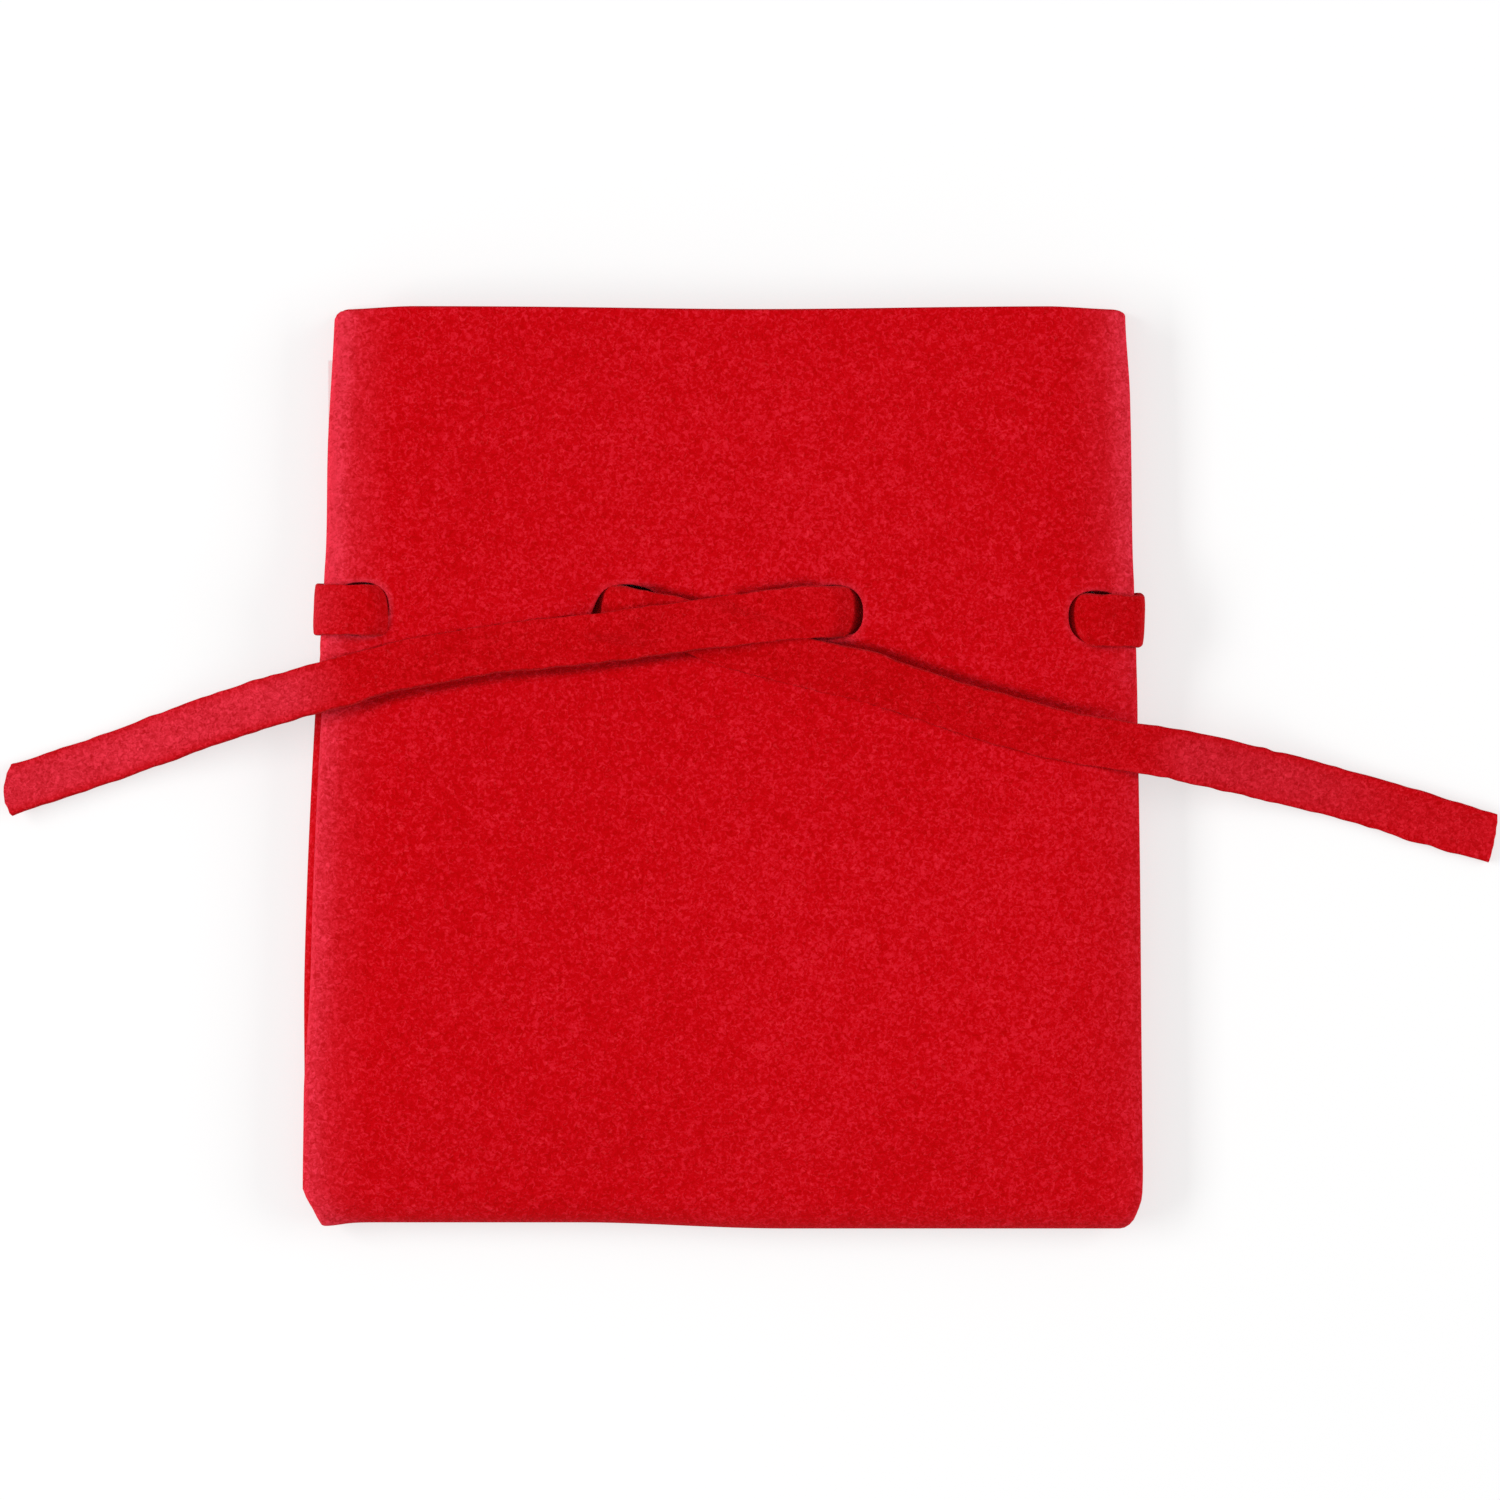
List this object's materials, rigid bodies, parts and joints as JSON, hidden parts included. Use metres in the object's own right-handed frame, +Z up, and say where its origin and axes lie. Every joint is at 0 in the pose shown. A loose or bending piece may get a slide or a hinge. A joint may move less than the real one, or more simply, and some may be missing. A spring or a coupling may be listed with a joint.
{
  "type": "drawstring pouch",
  "caption": "Small flat cloth pouch, folded at the bottom and sewn at the sides, with a flat drawstring strip threaded through punched holes below the mouth.",
  "frame": {"origin": "middle of the pouch without its drawstring, on the surface that it lies on", "axes": "+X to the right seen from the front, +Y towards the mouth, +Z up out of the front wall"},
  "size_m": [0.1472, 0.09, 0.0089],
  "materials": {
    "pouch_cloth": "red microsuede with a short matt nap",
    "strip_cloth": "red microsuede strip with cut edges"
  },
  "bodies": {
    "root": {"pouch_body": "pouch_cloth", "drawstring": "strip_cloth"}
  },
  "joints": []
}
